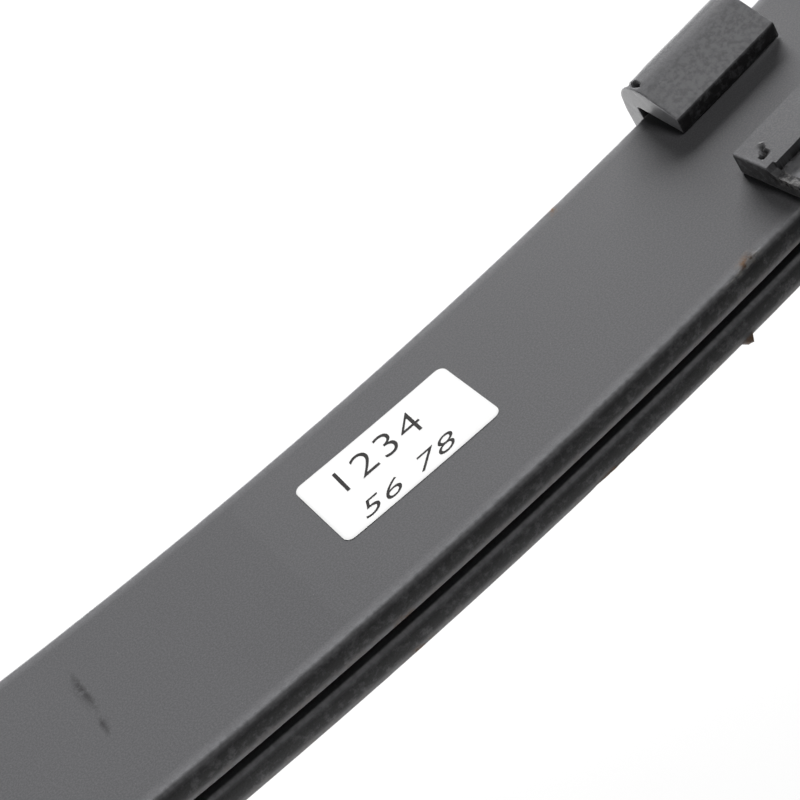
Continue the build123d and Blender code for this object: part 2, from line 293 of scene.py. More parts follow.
# ---------------------------------------------------------------- materials
class Finish:
    """A material on the Principled shader, with short calls for the nodes that feed it."""

    def __init__(self, name, coordinates="place", **sockets):
        self.material = bpy.data.materials.new(name)
        self.material.use_nodes = True
        self.nodes = self.material.node_tree.nodes
        self.surface = self.nodes["Principled BSDF"]
        self.set(**sockets)
        if coordinates == "place":
            self.place = self.attribute("place").outputs["Vector"]
        else:
            where = self.nodes.new("ShaderNodeTexCoord").outputs["Object"]
            self.place = self.vector("SCALE", where, scale=1 / MM)

    def put(self, socket, value):
        """Links another node's socket to this one, or sets its number or colour."""
        if isinstance(value, bpy.types.NodeSocket):
            self.material.node_tree.links.new(value, socket)
        else:
            socket.default_value = value

    def set(self, **sockets):
        """Puts these values on the shader's sockets, named with _ for a space."""
        for socket, value in sockets.items():
            self.put(self.surface.inputs[socket.replace("_", " ")], value)

    def attribute(self, name):
        """A node that reads one of the mesh's fields."""
        node = self.nodes.new("ShaderNodeAttribute")
        node.attribute_name = name
        return node

    def marks(self):
        """The three mark fields: rust, bare metal, and grime with painted shade."""
        node = self.nodes.new("ShaderNodeSeparateXYZ")
        self.put(node.inputs[0], self.attribute("marks").outputs["Vector"])
        return node.outputs[0], node.outputs[1], node.outputs[2]

    def edge(self):
        """The weight of the light or shade painted on the piece."""
        return self.attribute("edge").outputs["Fac"]

    def vector(self, operation, a, b=None, scale=None):
        """A sum on vectors."""
        node = self.nodes.new("ShaderNodeVectorMath")
        node.operation = operation
        self.put(node.inputs[0], a)
        if b is not None:
            self.put(node.inputs[1], b)
        if scale is not None:
            self.put(node.inputs["Scale"], scale)
        return node.outputs[0]

    def math(self, operation, a, b=0.0, clamp=False):
        """A sum on numbers."""
        node = self.nodes.new("ShaderNodeMath")
        node.operation, node.use_clamp = operation, clamp
        self.put(node.inputs[0], a)
        self.put(node.inputs[1], b)
        return node.outputs[0]

    def noise(self, size, detail=2.0, roughness=0.5, shift=0.0, stretch=(1, 1, 1)):
        """Noise with blotches of about this many millimetres."""
        node = self.nodes.new("ShaderNodeTexNoise")
        spread = self.vector("MULTIPLY", self.place, stretch)
        self.put(node.inputs["Vector"], self.vector("ADD", spread, (shift, shift, shift)))
        node.inputs["Scale"].default_value = 1 / size
        node.inputs["Detail"].default_value = detail
        node.inputs["Roughness"].default_value = roughness
        return node.outputs["Fac"]

    def dots(self, spacing, radius, share, shift=0.0):
        """1 in round specks of this radius, on this share of the cells of a loose grid."""
        node = self.nodes.new("ShaderNodeTexVoronoi")
        self.put(node.inputs["Vector"], self.vector("ADD", self.place, (shift, shift, shift)))
        node.inputs["Scale"].default_value = 1 / spacing
        near = self.ease(node.outputs["Distance"], 1.15 * radius / spacing, 0.7 * radius / spacing)
        pick = self.nodes.new("ShaderNodeSeparateColor")
        self.put(pick.inputs[0], node.outputs["Color"])
        chosen = self.math("LESS_THAN", pick.outputs[0], share)
        return self.math("MULTIPLY", near, chosen)

    def ease(self, value, start, stop, first=0.0, last=1.0):
        """Goes smoothly from first to last as the value goes from start to stop."""
        node = self.nodes.new("ShaderNodeMapRange")
        node.interpolation_type = "SMOOTHSTEP"
        for socket, number in zip(node.inputs, (value, start, stop, first, last)):
            self.put(socket, number)
        return node.outputs[0]

    def mix(self, factor, a, b):
        """Colour a where the factor is 0, and b where it is 1."""
        node = self.nodes.new("ShaderNodeMix")
        node.data_type = "RGBA"
        self.put(node.inputs[0], factor)
        for socket, colour in ((node.inputs[6], a), (node.inputs[7], b)):
            if isinstance(colour, tuple) and len(colour) == 3:
                colour = (*colour, 1.0)
            self.put(socket, colour)
        return node.outputs[2]

    def scaled(self, factor, low_value, high_value):
        """A number that goes from one value to another as the factor goes from 0 to 1."""
        return self.ease(factor, 0.0, 1.0, low_value, high_value)

    def bump(self, height, depth, normal=None):
        """A bump whose full height is this many millimetres."""
        node = self.nodes.new("ShaderNodeBump")
        node.inputs["Strength"].default_value = 1.0
        node.inputs["Distance"].default_value = depth * MM
        self.put(node.inputs["Height"], height)
        if normal is not None:
            self.put(node.inputs["Normal"], normal)
        return node.outputs["Normal"]


RUST = (0.13, 0.08, 0.048)
BARE_STEEL = (0.42, 0.41, 0.4)
DUST = (0.42, 0.42, 0.43)
DARK_GRIME_AND_SHADE = (0.012, 0.011, 0.011)


def spring_paint(name, tone=(0.11, 0.11, 0.1145), roughness=0.42):
    """Satin dark grey paint with grain, dust, pits, rust and scrapes, painted light on its corners and
    painted shade in its grime mark.
    """
    f = Finish(name, IOR=1.5, Specular_IOR_Level=0.26)
    rust_mark, bare_mark, grime_and_shade_mark = f.marks()

    # the paint itself: faint clouds and light grain, and painted light on the corners
    clouds = f.noise(60.0, 3.0)
    grain = f.noise(0.55, 2.0, 0.6)
    flecks = f.noise(1.7, 2.0, 0.6, 11.0)
    colour = f.mix(clouds, tuple(0.93 * c for c in tone), tuple(1.07 * c for c in tone))
    colour = f.mix(f.ease(grain, 0.35, 0.7, 0.0, 0.45), colour, tuple(1.7 * c for c in tone))
    # painted highlight on the top corners and painted reflection on the lower ones, broken up by flecks
    corner = f.math("MULTIPLY", f.edge(), f.ease(flecks, 0.3, 0.66, 0.55, 1.0))
    colour = f.mix(corner, colour, tuple(3.0 * c for c in tone))

    # dust that has settled on it, and pits
    dust = f.dots(9.0, 0.2, 0.3)
    fine_dust = f.dots(3.2, 0.13, 0.2, 31.0)
    pits = f.dots(13.0, 0.32, 0.3, 57.0)
    colour = f.mix(f.math("MULTIPLY", fine_dust, 0.4), colour, DUST)
    colour = f.mix(f.math("MULTIPLY", dust, 0.7), colour, DUST)
    colour = f.mix(f.math("MULTIPLY", pits, 0.75), colour, DARK_GRIME_AND_SHADE)

    # grime with painted shade, rust and bare metal, in blotches where the piece's marks are
    blotch = f.noise(2.6, 4.0, 0.65, 23.0)
    rust = f.math("MULTIPLY", rust_mark, f.ease(blotch, 0.38, 0.62))
    grime_and_shade = f.math("MULTIPLY", grime_and_shade_mark, f.ease(blotch, 0.72, 0.46))
    bare = f.math("MULTIPLY", bare_mark, f.ease(flecks, 0.4, 0.58))
    colour = f.mix(grime_and_shade, colour, DARK_GRIME_AND_SHADE)
    colour = f.mix(rust, colour, f.mix(flecks, RUST, tuple(1.9 * c for c in RUST)))
    colour = f.mix(bare, colour, BARE_STEEL)

    # grime with painted shade, and rust, are duller than paint, and bare metal is shinier
    rough = f.scaled(grain, roughness - 0.05, roughness + 0.06)
    rough = f.math("ADD", rough, f.math("MULTIPLY", rust, 0.3))
    rough = f.math("ADD", rough, f.math("MULTIPLY", grime_and_shade, 0.3))
    rough = f.math("SUBTRACT", rough, f.math("MULTIPLY", bare, 0.12), clamp=True)

    # the surface's relief, from fine grain to torn metal
    crumbly = f.math("MULTIPLY", f.math("ADD", grime_and_shade_mark, rust_mark), 0.35)
    torn = f.math("ADD", bare_mark, crumbly, clamp=True)
    normal = f.bump(grain, 0.02)
    normal = f.bump(f.noise(4.5, 1.0, 0.4, 3.0), 0.02, normal)
    normal = f.bump(f.math("MULTIPLY", f.noise(0.9, 4.0, 0.65, 41.0), torn), 0.5, normal)
    normal = f.bump(f.math("SUBTRACT", f.math("MULTIPLY", dust, 0.4), pits), 0.1, normal)
    f.set(Base_Color=colour, Roughness=rough, Metallic=f.math("MULTIPLY", bare, 0.7), Normal=normal)
    return f.material


def plated_steel(name, tone, dark, roughness):
    """Plated or phosphated steel, with a cloudy tone, a fine grain and small spots."""
    f = Finish(name, "object", Metallic=0.9)
    clouds = f.noise(14.0, 4.0, 0.6)
    fine = f.noise(0.5, 3.0, 0.6, 5.0)
    spots = f.dots(5.0, 0.35, 0.35, 12.0)
    colour = f.mix(f.ease(clouds, 0.35, 0.68), dark, tone)
    colour = f.mix(f.math("MULTIPLY", spots, 0.5), colour, tuple(0.5 * c for c in dark))
    mixed = f.math("ADD", f.math("MULTIPLY", clouds, 0.6), f.math("MULTIPLY", fine, 0.4))
    rough = f.scaled(mixed, roughness - 0.1, roughness + 0.16)
    f.set(Base_Color=colour, Roughness=rough, Normal=f.bump(fine, 0.015))
    return f.material


def moulded(name, tone, roughness, grain_size, grain_depth):
    """Moulded rubber or plastic: a fine matt grain, a bloom in patches and a little dust."""
    f = Finish(name, "object", IOR=1.5)
    bloom = f.noise(11.0, 3.0, 0.55)
    grain = f.noise(grain_size, 2.0, 0.5, 9.0)
    dust = f.dots(2.4, 0.16, 0.25, 21.0)
    colour = f.mix(f.ease(bloom, 0.4, 0.72), tone, tuple(1.7 * c + 0.006 for c in tone))
    colour = f.mix(f.math("MULTIPLY", dust, 0.35), colour, DUST)
    rough = f.scaled(bloom, roughness - 0.08, roughness + 0.12)
    f.set(Base_Color=colour, Roughness=rough, Normal=f.bump(grain, grain_depth))
    return f.material


def scuffed_paint(name, tone, roughness):
    """Plain dark paint on the pieces that have no marks of their own."""
    f = Finish(name, "object", IOR=1.5)
    clouds = f.noise(22.0, 3.0)
    grain = f.noise(0.6, 2.0, 0.6, 4.0)
    scuffs = f.ease(f.noise(3.0, 5.0, 0.7, 14.0, (0.4, 1, 1)), 0.6, 0.72)
    colour = f.mix(clouds, tuple(0.8 * c for c in tone), tuple(1.25 * c for c in tone))
    colour = f.mix(f.math("MULTIPLY", scuffs, 0.35), colour, tuple(4 * c for c in tone))
    rough = f.scaled(grain, roughness - 0.06, roughness + 0.08)
    f.set(Base_Color=colour, Roughness=rough, Normal=f.bump(grain, 0.015))
    return f.material


def label_paper():
    """White coated paper: faint fibres, and painted shade that greys its cut edge."""
    f = Finish("label_paper", IOR=1.45)
    fibres = f.noise(1.1, 4.0, 0.6, stretch=(0.5, 1, 1))
    clouds = f.noise(16.0, 2.0)
    colour = f.mix(clouds, (0.9, 0.9, 0.895), (0.93, 0.93, 0.93))
    # painted shade along the cut edge
    colour = f.mix(f.math("MULTIPLY", f.edge(), 0.35), colour, (0.6, 0.6, 0.6))
    f.set(Base_Color=colour, Roughness=f.scaled(fibres, 0.38, 0.5), Normal=f.bump(fibres, 0.006))
    return f.material


def print_ink():
    """Dark thermal print that lets a little of the paper through."""
    f = Finish("label_print", IOR=1.45, Roughness=0.5)
    fibres = f.noise(0.35, 3.0, 0.7)
    f.set(Base_Color=f.mix(fibres, (0.02, 0.019, 0.019), (0.05, 0.047, 0.047)))
    return f.material


# ---------------------------------------------------------------- marks on the leaves
# Each mark is a place on a leaf as (arc, across, rise), and how far it reaches.
MAIN_RUST = [((447.5, -38.3, 0.0), (4.4, 2.5, 3.0)), ((433.6, 38.2, 0.0), (2.5, 2.2, 2.5)),
             ((305.0, -39.8, -9.0), (7.0, 2.0, 2.6)), ((-412.0, -39.0, -1.0), (9.0, 3.0, 3.0)),
             ((-610.0, 38.6, -1.0), (6.0, 3.0, 3.0))]
MAIN_BARE = [((450.1, -38.7, -0.3), (3.9, 1.2, 1.6)), ((445.0, -39.2, -0.5), (8.8, 0.8, 1.2)),
             ((-415.0, -39.3, -0.6), (8.0, 0.9, 1.4))]
MAIN_GRIME = [((226.8, 11.7, 0.0), (1.9, 11.7, 1.0)), ((225.9, -3.9, 0.0), (1.4, 4.9, 1.0)),
              ((496.2, 1.4, 0.0), (1.2, 1.0, 1.0)), ((442.7, -32.7, 0.0), (1.6, 0.5, 1.0)),
              ((428.1, -29.9, 0.0), (1.0, 0.8, 1.0)), ((443.9, 19.9, 0.0), (0.9, 0.7, 1.0)),
              ((-300.0, 8.0, 0.0), (3.0, 9.0, 1.0))]
SECOND_RUST = [((437.7, -39.3, -22.2), (3.9, 2.0, 2.3)), ((382.8, -39.6, -22.2), (12.6, 1.5, 1.6)),
               ((304.0, -39.5, -22.3), (8.0, 2.0, 2.0)), ((-470.0, 39.4, -22.3), (12.0, 2.0, 2.0))]
SECOND_GRIME = [((380.8, -39.4, -22.4), (14.6, 2.4, 2.4)), ((-350.0, -39.4, -22.4), (14.0, 2.4, 2.4))]
SPOT_GRIME = 0.6             # how dark the grime in scratches and pits is


def marks_of(rust, bare, grime_and_shade):
    """A function that gives the three mark fields at each place."""

    def fields(place):
        found = np.stack([strongest(place, spots) for spots in (rust, bare, grime_and_shade)], -1)
        found[:, GRIME_AND_SHADE_MARK] *= SPOT_GRIME
        return found

    return fields


main_marks = marks_of(MAIN_RUST, MAIN_BARE, MAIN_GRIME)
second_marks = marks_of(SECOND_RUST, [], SECOND_GRIME)


def main_knocks(place):
    """The chip in the near top corner."""
    chip = spot(place, (449.0, -39.4, -0.8), (3.4, 2.0, 2.2))
    return -0.45 * chip * (1 + ripple(place, 1.3, 3.0))


def second_knocks(place):
    """The burr and the crumbly stretch on the lower near corner."""
    burr = spot(place, (436.8, -38.8, -9.6), (2.0, 2.6, 1.6))
    crumbs = spot(place, (380.8, -39.4, -9.2), (14.6, 2.4, 2.4))
    return 1.9 * burr * (0.8 + 0.5 * ripple(place, 1.0, 5.0)) + 0.3 * crumbs * ripple(place, 1.6, 9.0)


# ---------------------------------------------------------------- the leaves
leaf_paint = spring_paint("leaf_paint")
EYE_STEP = radians(2.5)
COARSE_STEP = 5.0            # from ring to ring where the leaves have no marks of their own
TIP_CUT = 12.0               # how long the cut corners of the second leaf's tip are


def spaced(start, stop, step):
    """Even places from start to stop, about this step apart."""
    return np.linspace(start, stop, max(2, round((stop - start) / step) + 1))


def main_and_eye(end, arc, across, rise):
    """The main leaf's points, which turn round the eye once past its start."""
    turn = (arc - EYE_ARC[end]) / EYE_RADIUS
    straight = leaf_points(end, np.minimum(arc, EYE_ARC[end]), across, rise)
    rolled = eye_points(end, np.maximum(turn, 0), across, rise)
    return np.where((turn > 0)[:, None], rolled, straight)


def bend_piece(piece, end, part):
    """Bakes a piece's transform into its mesh; the bodies and the stretch of the half's inner or outer
    flex joint are worked out but not used.
    """
    if part == "inner":
        bodies, (start, stop) = ("centre", f"{end}_mid"), INNER_BEND
    else:
        bodies, (start, stop) = (f"{end}_mid", f"{end}_end"), OUTER_BEND[end]
    first, last = station(end, start)[0] * MM, station(end, stop)[0] * MM
    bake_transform(piece)


def main_leaf_half(end, fine):
    """One half of the main leaf with its eye, in two pieces that meet over the middle body."""
    roll_end = EYE_ARC[end] + EYE_ROLL * EYE_RADIUS
    eye_arcs = spaced(EYE_ARC[end], roll_end, EYE_STEP * EYE_RADIUS)[1:]
    stretches = {
        "inner": spaced(0, SEAM_ARC, COARSE_STEP),
        "outer": np.concatenate([spaced(SEAM_ARC, EYE_ARC[end], fine), eye_arcs]),
    }
    for part, arcs in stretches.items():
        piece = bar_piece(
            f"main_leaf_{end}_{part}", end, arcs, 0.0, leaf_paint, main_marks,
            knocks=main_knocks if part == "outer" else None, points=main_and_eye,
        )
        bend_piece(piece, end, part)
        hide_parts("main_leaf")


def second_leaf_half(end, fine):
    """One half of the second leaf, with its corners cut away at the tip."""
    tip = EYE_ARC[end] - SECOND_SHORT
    shoulder = tip - TIP_CUT
    tip_arcs = spaced(shoulder, tip, 1.5)[1:]
    stretches = {
        "inner": spaced(0, SEAM_ARC, COARSE_STEP),
        "outer": np.concatenate([spaced(SEAM_ARC, shoulder, fine), tip_arcs]),
    }
    for part, arcs in stretches.items():
        piece = bar_piece(
            f"second_leaf_{end}_{part}", end, arcs, SECOND_RISE, leaf_paint, second_marks,
            taper=1 - np.clip(arcs - shoulder, 0, TIP_CUT) / HALF_WIDTH,
            knocks=second_knocks if part == "outer" else None,
        )
        bend_piece(piece, end, part)
        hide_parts("second_leaf")


# the front half, which the camera is close to, has the finer steps
for end, fine in (("front", 1.5), ("rear", 3.0)):
    main_leaf_half(end, fine)
    second_leaf_half(end, fine)


# ---------------------------------------------------------------- the rebound clips
CLIP_HALF = 22.5             # half the strap's width, along the spring
CLIP_OFFSET = 2.25           # each tab stands this far along from the clip's middle
CLIP_THICKNESS = 7.6
CLIP_RIM = 0.35              # the small rounding round the strap's two ends
LEG_INNER = HALF_WIDTH + 0.5
LEG_OUTER = LEG_INNER + CLIP_THICKNESS
BASE_RISE = SECOND_RISE - THICKNESS - 0.05
STRAP_BOTTOM = BASE_RISE - CLIP_THICKNESS
LEG_RISE = (SECOND_RISE + BASE_RISE) / 2
TAB_LOW = 0.4                # how far the tabs clear the main leaf
FLAT_TAB_TOP = 8.7
POCKET_START = 27.0          # how far across the pocket in the flat tab begins
POCKET_DEPTH = 3.5
POCKET_WALL = 3.0            # what is left of the tab at each end of the pocket
POCKET_HALF = CLIP_HALF - POCKET_WALL
TORN_DEPTH = {"front": 2.6, "rear": 1.2}     # how low the rim before the pocket is torn
SLOPE_TIP = (19.2, 6.4)      # the sloping tab's upper tip
# The strap seen along the spring, from the flat tab's tip round to the sloping tab's tip:
# the corners of its outer and of its inner side as (across, rise) and a radius, and which
# of the outer corners stands opposite each inner one.
STRAP_OUTER = [
    ((-11.0, FLAT_TAB_TOP), 0),
    ((-LEG_OUTER, FLAT_TAB_TOP), 7.3),
    ((-LEG_OUTER, STRAP_BOTTOM), 9.7),
    ((LEG_OUTER, STRAP_BOTTOM), 9.7),
    ((LEG_OUTER, 0.0), 11.7),
    ((LEG_OUTER - 2.4, 12.8), 9.7),
    ((34.0, 13.2), 13.6),
    ((19.1, 6.5), 0),
]
STRAP_INNER = [
    ((-11.2, TAB_LOW), 0),
    ((-LEG_INNER, TAB_LOW), 0.8),
    ((-LEG_INNER, BASE_RISE), 2),
    ((LEG_INNER, BASE_RISE), 2),
    ((LEG_INNER - 0.5, 4.3), 0.6),
    ((19.2, TAB_LOW), 0),
]
OPPOSITE = (0, 1, 2, 3, 5, 7)
OUTLINE_STEP = 0.8           # between points of the outline
TIP_GAP = 0.3                # the first and last points stay this far from the tabs' corners
DEPTHS = (0.12, 0.3, 0.5, 0.7, 0.88)     # levels from the outer to the inner side
# Knocks and marks on the front clip: a place as (from the strap's end nearer the bolt,
# across, rise), and how far it reaches.
TAB_HOLE = ((2.3, 38.4, 12.8), (1.4, 2.7, 2.8))
TAB_BITE = ((1.9, 43.5, 12.0), (1.3, 4.0, 4.0))
TAB_DENT = ((5.5, 45.5, 10.0), (6.0, 4.0, 5.0))
TAB_GOUGE = [((3.6, -21.2, FLAT_TAB_TOP), (1.9, 1.5, 2.0)),
             ((5.0, -20.4, FLAT_TAB_TOP), (1.8, 1.8, 2.0)),
             ((6.1, -18.4, FLAT_TAB_TOP), (1.3, 1.1, 2.0))]
TAB_NICKS = [((7.2, -17.2, 8.7), (0.8, 0.7, 1.0)), ((6.9, 30.9, 11.6), (0.5, 0.4, 1.0))]
FAINT_NICK = ((0.2, 37.0, 12.4), (0.5, 0.8, 1.0))
LEG_RUST = ((6.0, LEG_OUTER, -6.0), (9.0, 3.0, 7.0))     # on the rear clip, from its middle


def rounded_path(corners):
    """Points along a path with round corners, and how far along it each corner lies."""
    spots = [np.array(corner, float) for corner, _ in corners]
    points, corner_at = [spots[0]], [0]
    for i in range(1, len(corners) - 1):
        here, radius = spots[i], corners[i][1]
        before, after = spots[i - 1] - here, spots[i + 1] - here
        before, after = before / np.linalg.norm(before), after / np.linalg.norm(after)
        half = np.arccos(np.clip(before @ after, -1, 1)) / 2
        first = here + before * radius / np.tan(half)
        centre = here + (before + after) / np.linalg.norm(before + after) * radius / np.sin(half)
        arm = first - centre
        turn = np.sign(before[1] * after[0] - before[0] * after[1]) * (pi - 2 * half)
        for a in np.linspace(0, turn, 17):
            spin = (arm[0] * cos(a) - arm[1] * sin(a), arm[0] * sin(a) + arm[1] * cos(a))
            points.append(centre + spin)
        corner_at.append(len(points) - 9)
    points.append(spots[-1])
    corner_at.append(len(points) - 1)
    steps = np.linalg.norm(np.diff(points, axis=0), axis=1)
    reached = np.concatenate([[0], np.cumsum(steps)])
    return np.array(points), reached, reached[corner_at]


def matched_sides():
    """The strap's outer and inner side as the same number of points, in step at corners."""
    outer, outer_at, outer_corners = rounded_path(STRAP_OUTER)
    inner, inner_at, inner_corners = rounded_path(STRAP_INNER)
    outer_corners = outer_corners[list(OPPOSITE)]
    sides = []
    for path, reached, corners in (
        (outer, outer_at, outer_corners),
        (inner, inner_at, inner_corners),
    ):
        where = [TIP_GAP]
        for k in range(len(OPPOSITE) - 1):
            count = round((outer_corners[k + 1] - outer_corners[k]) / OUTLINE_STEP)
            stop = corners[k + 1] - (TIP_GAP if k == len(OPPOSITE) - 2 else 0)
            where += list(np.linspace(where[-1], stop, count + 1)[1:])
        sides.append(np.stack([np.interp(where, reached, values) for values in path.T], -1))
    return sides


def outward_normals(points):
    """Outward normals of a closed outline."""
    along = np.roll(points, -1, 0) - np.roll(points, 1, 0)
    normal = np.stack([along[:, 1], -along[:, 0]], -1)
    normal /= np.linalg.norm(normal, axis=1)[:, None]
    turned = points[:, 0] * np.roll(points[:, 1], -1) - np.roll(points[:, 0], -1) * points[:, 1]
    return normal * np.sign(turned.sum())


def cap_faces(start, inside, count):
    """Faces of one end of the strap, from the outline's points and the points within it."""
    levels = len(DEPTHS)
    far_tip, near_tip = count, 2 * count + levels

    def at(i, level):
        if level == 0:
            return start + i
        if level == levels + 1:
            return start + count + levels + count - 1 - i
        return inside + i * levels + level - 1

    faces = []
    for i in range(count - 1):
        for level in range(levels + 1):
            faces.append((at(i, level), at(i + 1, level), at(i + 1, level + 1), at(i, level + 1)))
    for i, tip in (
        (count - 1, [start + far_tip + k for k in range(levels)]),
        (0, [start + near_tip + levels - 1 - k for k in range(levels)]),
    ):
        faces.append((at(i, 0), at(i, 1), tip[0]))
        for k in range(levels - 1):
            faces.append((at(i, k + 1), at(i, k + 2), tip[k + 1], tip[k]))
        faces.append((at(i, levels), at(i, levels + 1), tip[-1]))
    return faces


def strap_outline():
    """The strap's closed outline, the points within it, and how many lie on the outer side."""
    outer, inner = matched_sides()
    # two points are drawn close together at the top of the pocket's wall
    at = int(np.argmin(np.abs(outer[:, 0] + POCKET_START) + 99 * (outer[:, 1] < 0)))
    outer[at - 1, 0], outer[at, 0] = 0.15 - POCKET_START, -POCKET_START - 0.15
    depths = np.array(DEPTHS)[:, None]
    far_tip = np.array(STRAP_OUTER[-1][0]) * (1 - depths) + np.array(STRAP_INNER[-1][0]) * depths
    near_tip = np.array(STRAP_OUTER[0][0]) * (1 - depths) + np.array(STRAP_INNER[0][0]) * depths
    outline = np.concatenate([outer, far_tip, inner[::-1], near_tip[::-1]])
    within = (outer[:, None] * (1 - depths) + inner[:, None] * depths).reshape(-1, 2)
    return outline, within, len(outer)


def strap_rings():
    """Where the outline is repeated along the strap, and how far it is drawn in there."""
    half, wall, gap = CLIP_HALF, POCKET_HALF, 0.12
    places = [-half, -half + 0.3 * CLIP_RIM, -half + CLIP_RIM]
    places += list(spaced(-half + 0.8, -wall - gap, 0.45))
    places += list(spaced(-wall + gap, wall - gap, 0.8))
    places += list(spaced(wall + gap, half - 0.8, 0.6))
    places += [half - CLIP_RIM, half - 0.3 * CLIP_RIM, half]
    inset = np.zeros(len(places))
    inset[[0, -1]] = CLIP_RIM
    inset[[1, -2]] = 0.3 * CLIP_RIM
    return np.array(places), inset


def press_marks(place, rise, end):
    """The press tool's pocket in the flat tab, and the torn rim that it left in front.

    Gives the strap's rise with both in it, where the pocket is, how torn each point is, how
    near it is to the rim's bare lip, and the torn metal's roughness.
    """
    along, across, flat_rise = place.T
    tab = flat_rise > 3
    in_pocket = (np.abs(along) < POCKET_HALF) & (across < -POCKET_START) & tab
    floor = FLAT_TAB_TOP - POCKET_DEPTH + 0.12 * ripple(place, 3.0, 2.0)
    rise = np.where(in_pocket, np.minimum(rise, floor), rise)
    front = smooth(-along, POCKET_HALF - 0.1, POCKET_HALF + 0.1)
    beside = smooth(-across, POCKET_START - 4.0, POCKET_START + 2.5)
    torn = front * beside * tab
    rough = ripple(place, 1.6, 4.0) + 0.5 * ripple(place, 0.7, 5.0)
    top = FLAT_TAB_TOP - TORN_DEPTH[end] * beside + 0.5 * beside * rough
    rise = np.where(torn > 0.5 * (beside > 0.02), np.minimum(rise, top), rise)
    lip = front * beside * smooth(-across, POCKET_START + 1, POCKET_START + 3)
    return rise, in_pocket, torn, lip, rough


def front_clip_wear(place, rise, torn, lip, rough, on_face):
    """Knocks in the front clip, as a distance out of its surface, and its marks."""
    from_end = place + (CLIP_HALF, 0, 0)
    hole, bite, dent = (spot(from_end, *knock) for knock in (TAB_HOLE, TAB_BITE, TAB_DENT))
    gouge = smooth(strongest(from_end, TAB_GOUGE) + 0.25 * rough, 0.15, 0.6)
    push = -2.4 * hole - 0.9 * bite - 0.7 * dent - 0.95 * gouge * (1 + 0.5 * rough)
    bare_lip = 0.36 * lip * (rise > 3.5)
    # grime on the torn rim, and painted shade on the near half of the strap's end faces
    rim_grime_and_face_shade = 0.45 * torn + 0.6 * on_face * (place[:, 1] < 0)
    marks = np.zeros((len(place), 3))
    marks[:, BARE_MARK] = np.maximum.reduce(
        [bare_lip, strongest(from_end, TAB_NICKS), 0.5 * spot(from_end, *FAINT_NICK)]
    )
    marks[:, GRIME_AND_SHADE_MARK] = np.maximum.reduce([hole, 0.6 * bite, gouge, rim_grime_and_face_shade])
    return push, marks


def rear_clip_wear(place, lip):
    """The rear clip has no knocks, a bare lip and a rusty leg."""
    marks = np.zeros((len(place), 3))
    marks[:, RUST_MARK] = spot(place, *LEG_RUST)
    marks[:, BARE_MARK] = 0.7 * lip
    return 0, marks


def clip_painted_light(place, across, upward, in_pocket, on_face):
    """Painted light on the strap: highlights on its ends' corners and the sloping tab's tip, and a
    lighter pocket floor and sloping tab.
    """
    along, flat_across, flat_rise = place.T
    corner = (1 - smooth(CLIP_HALF - np.abs(along), 0.2, 1.4)) * (1 - on_face)
    from_tip = np.hypot(flat_across - SLOPE_TIP[0], flat_rise - SLOPE_TIP[1])
    # painted light: lighter in the pocket, and painted highlights along the end corners and at the
    # sloping tab's tip
    edge = np.where(in_pocket, 0.7, 0.35 * np.maximum(corner, 1 - smooth(from_tip, 0.3, 1.4)))
    # painted light on the sloping tab's top, fading towards its bend
    sloping_top = (upward > 0.6) & (flat_rise > 5) & (across > 0)
    painted_top_light = 0.95 * (1 - smooth(across, 30.0, 37.0))
    return np.where(sloping_top, np.maximum(edge, painted_top_light), edge)


def stand_clip(end, along, across, rise, flat_rise):
    """The strap's points on the spring: tabs and legs stand square, and the base is askew."""
    middle, tangent, normal = station(end, CLIP_ARC[end])
    turn_over = np.where(flat_rise > LEG_RISE, 5.0, LEG_INNER)
    shifted = along + CLIP_OFFSET * np.clip(across / turn_over, -1, 1)
    sideways = np.stack([0 * across, SIDES[end] * across, 0 * across], -1)
    return middle + shifted[:, None] * tangent + rise[:, None] * normal + sideways


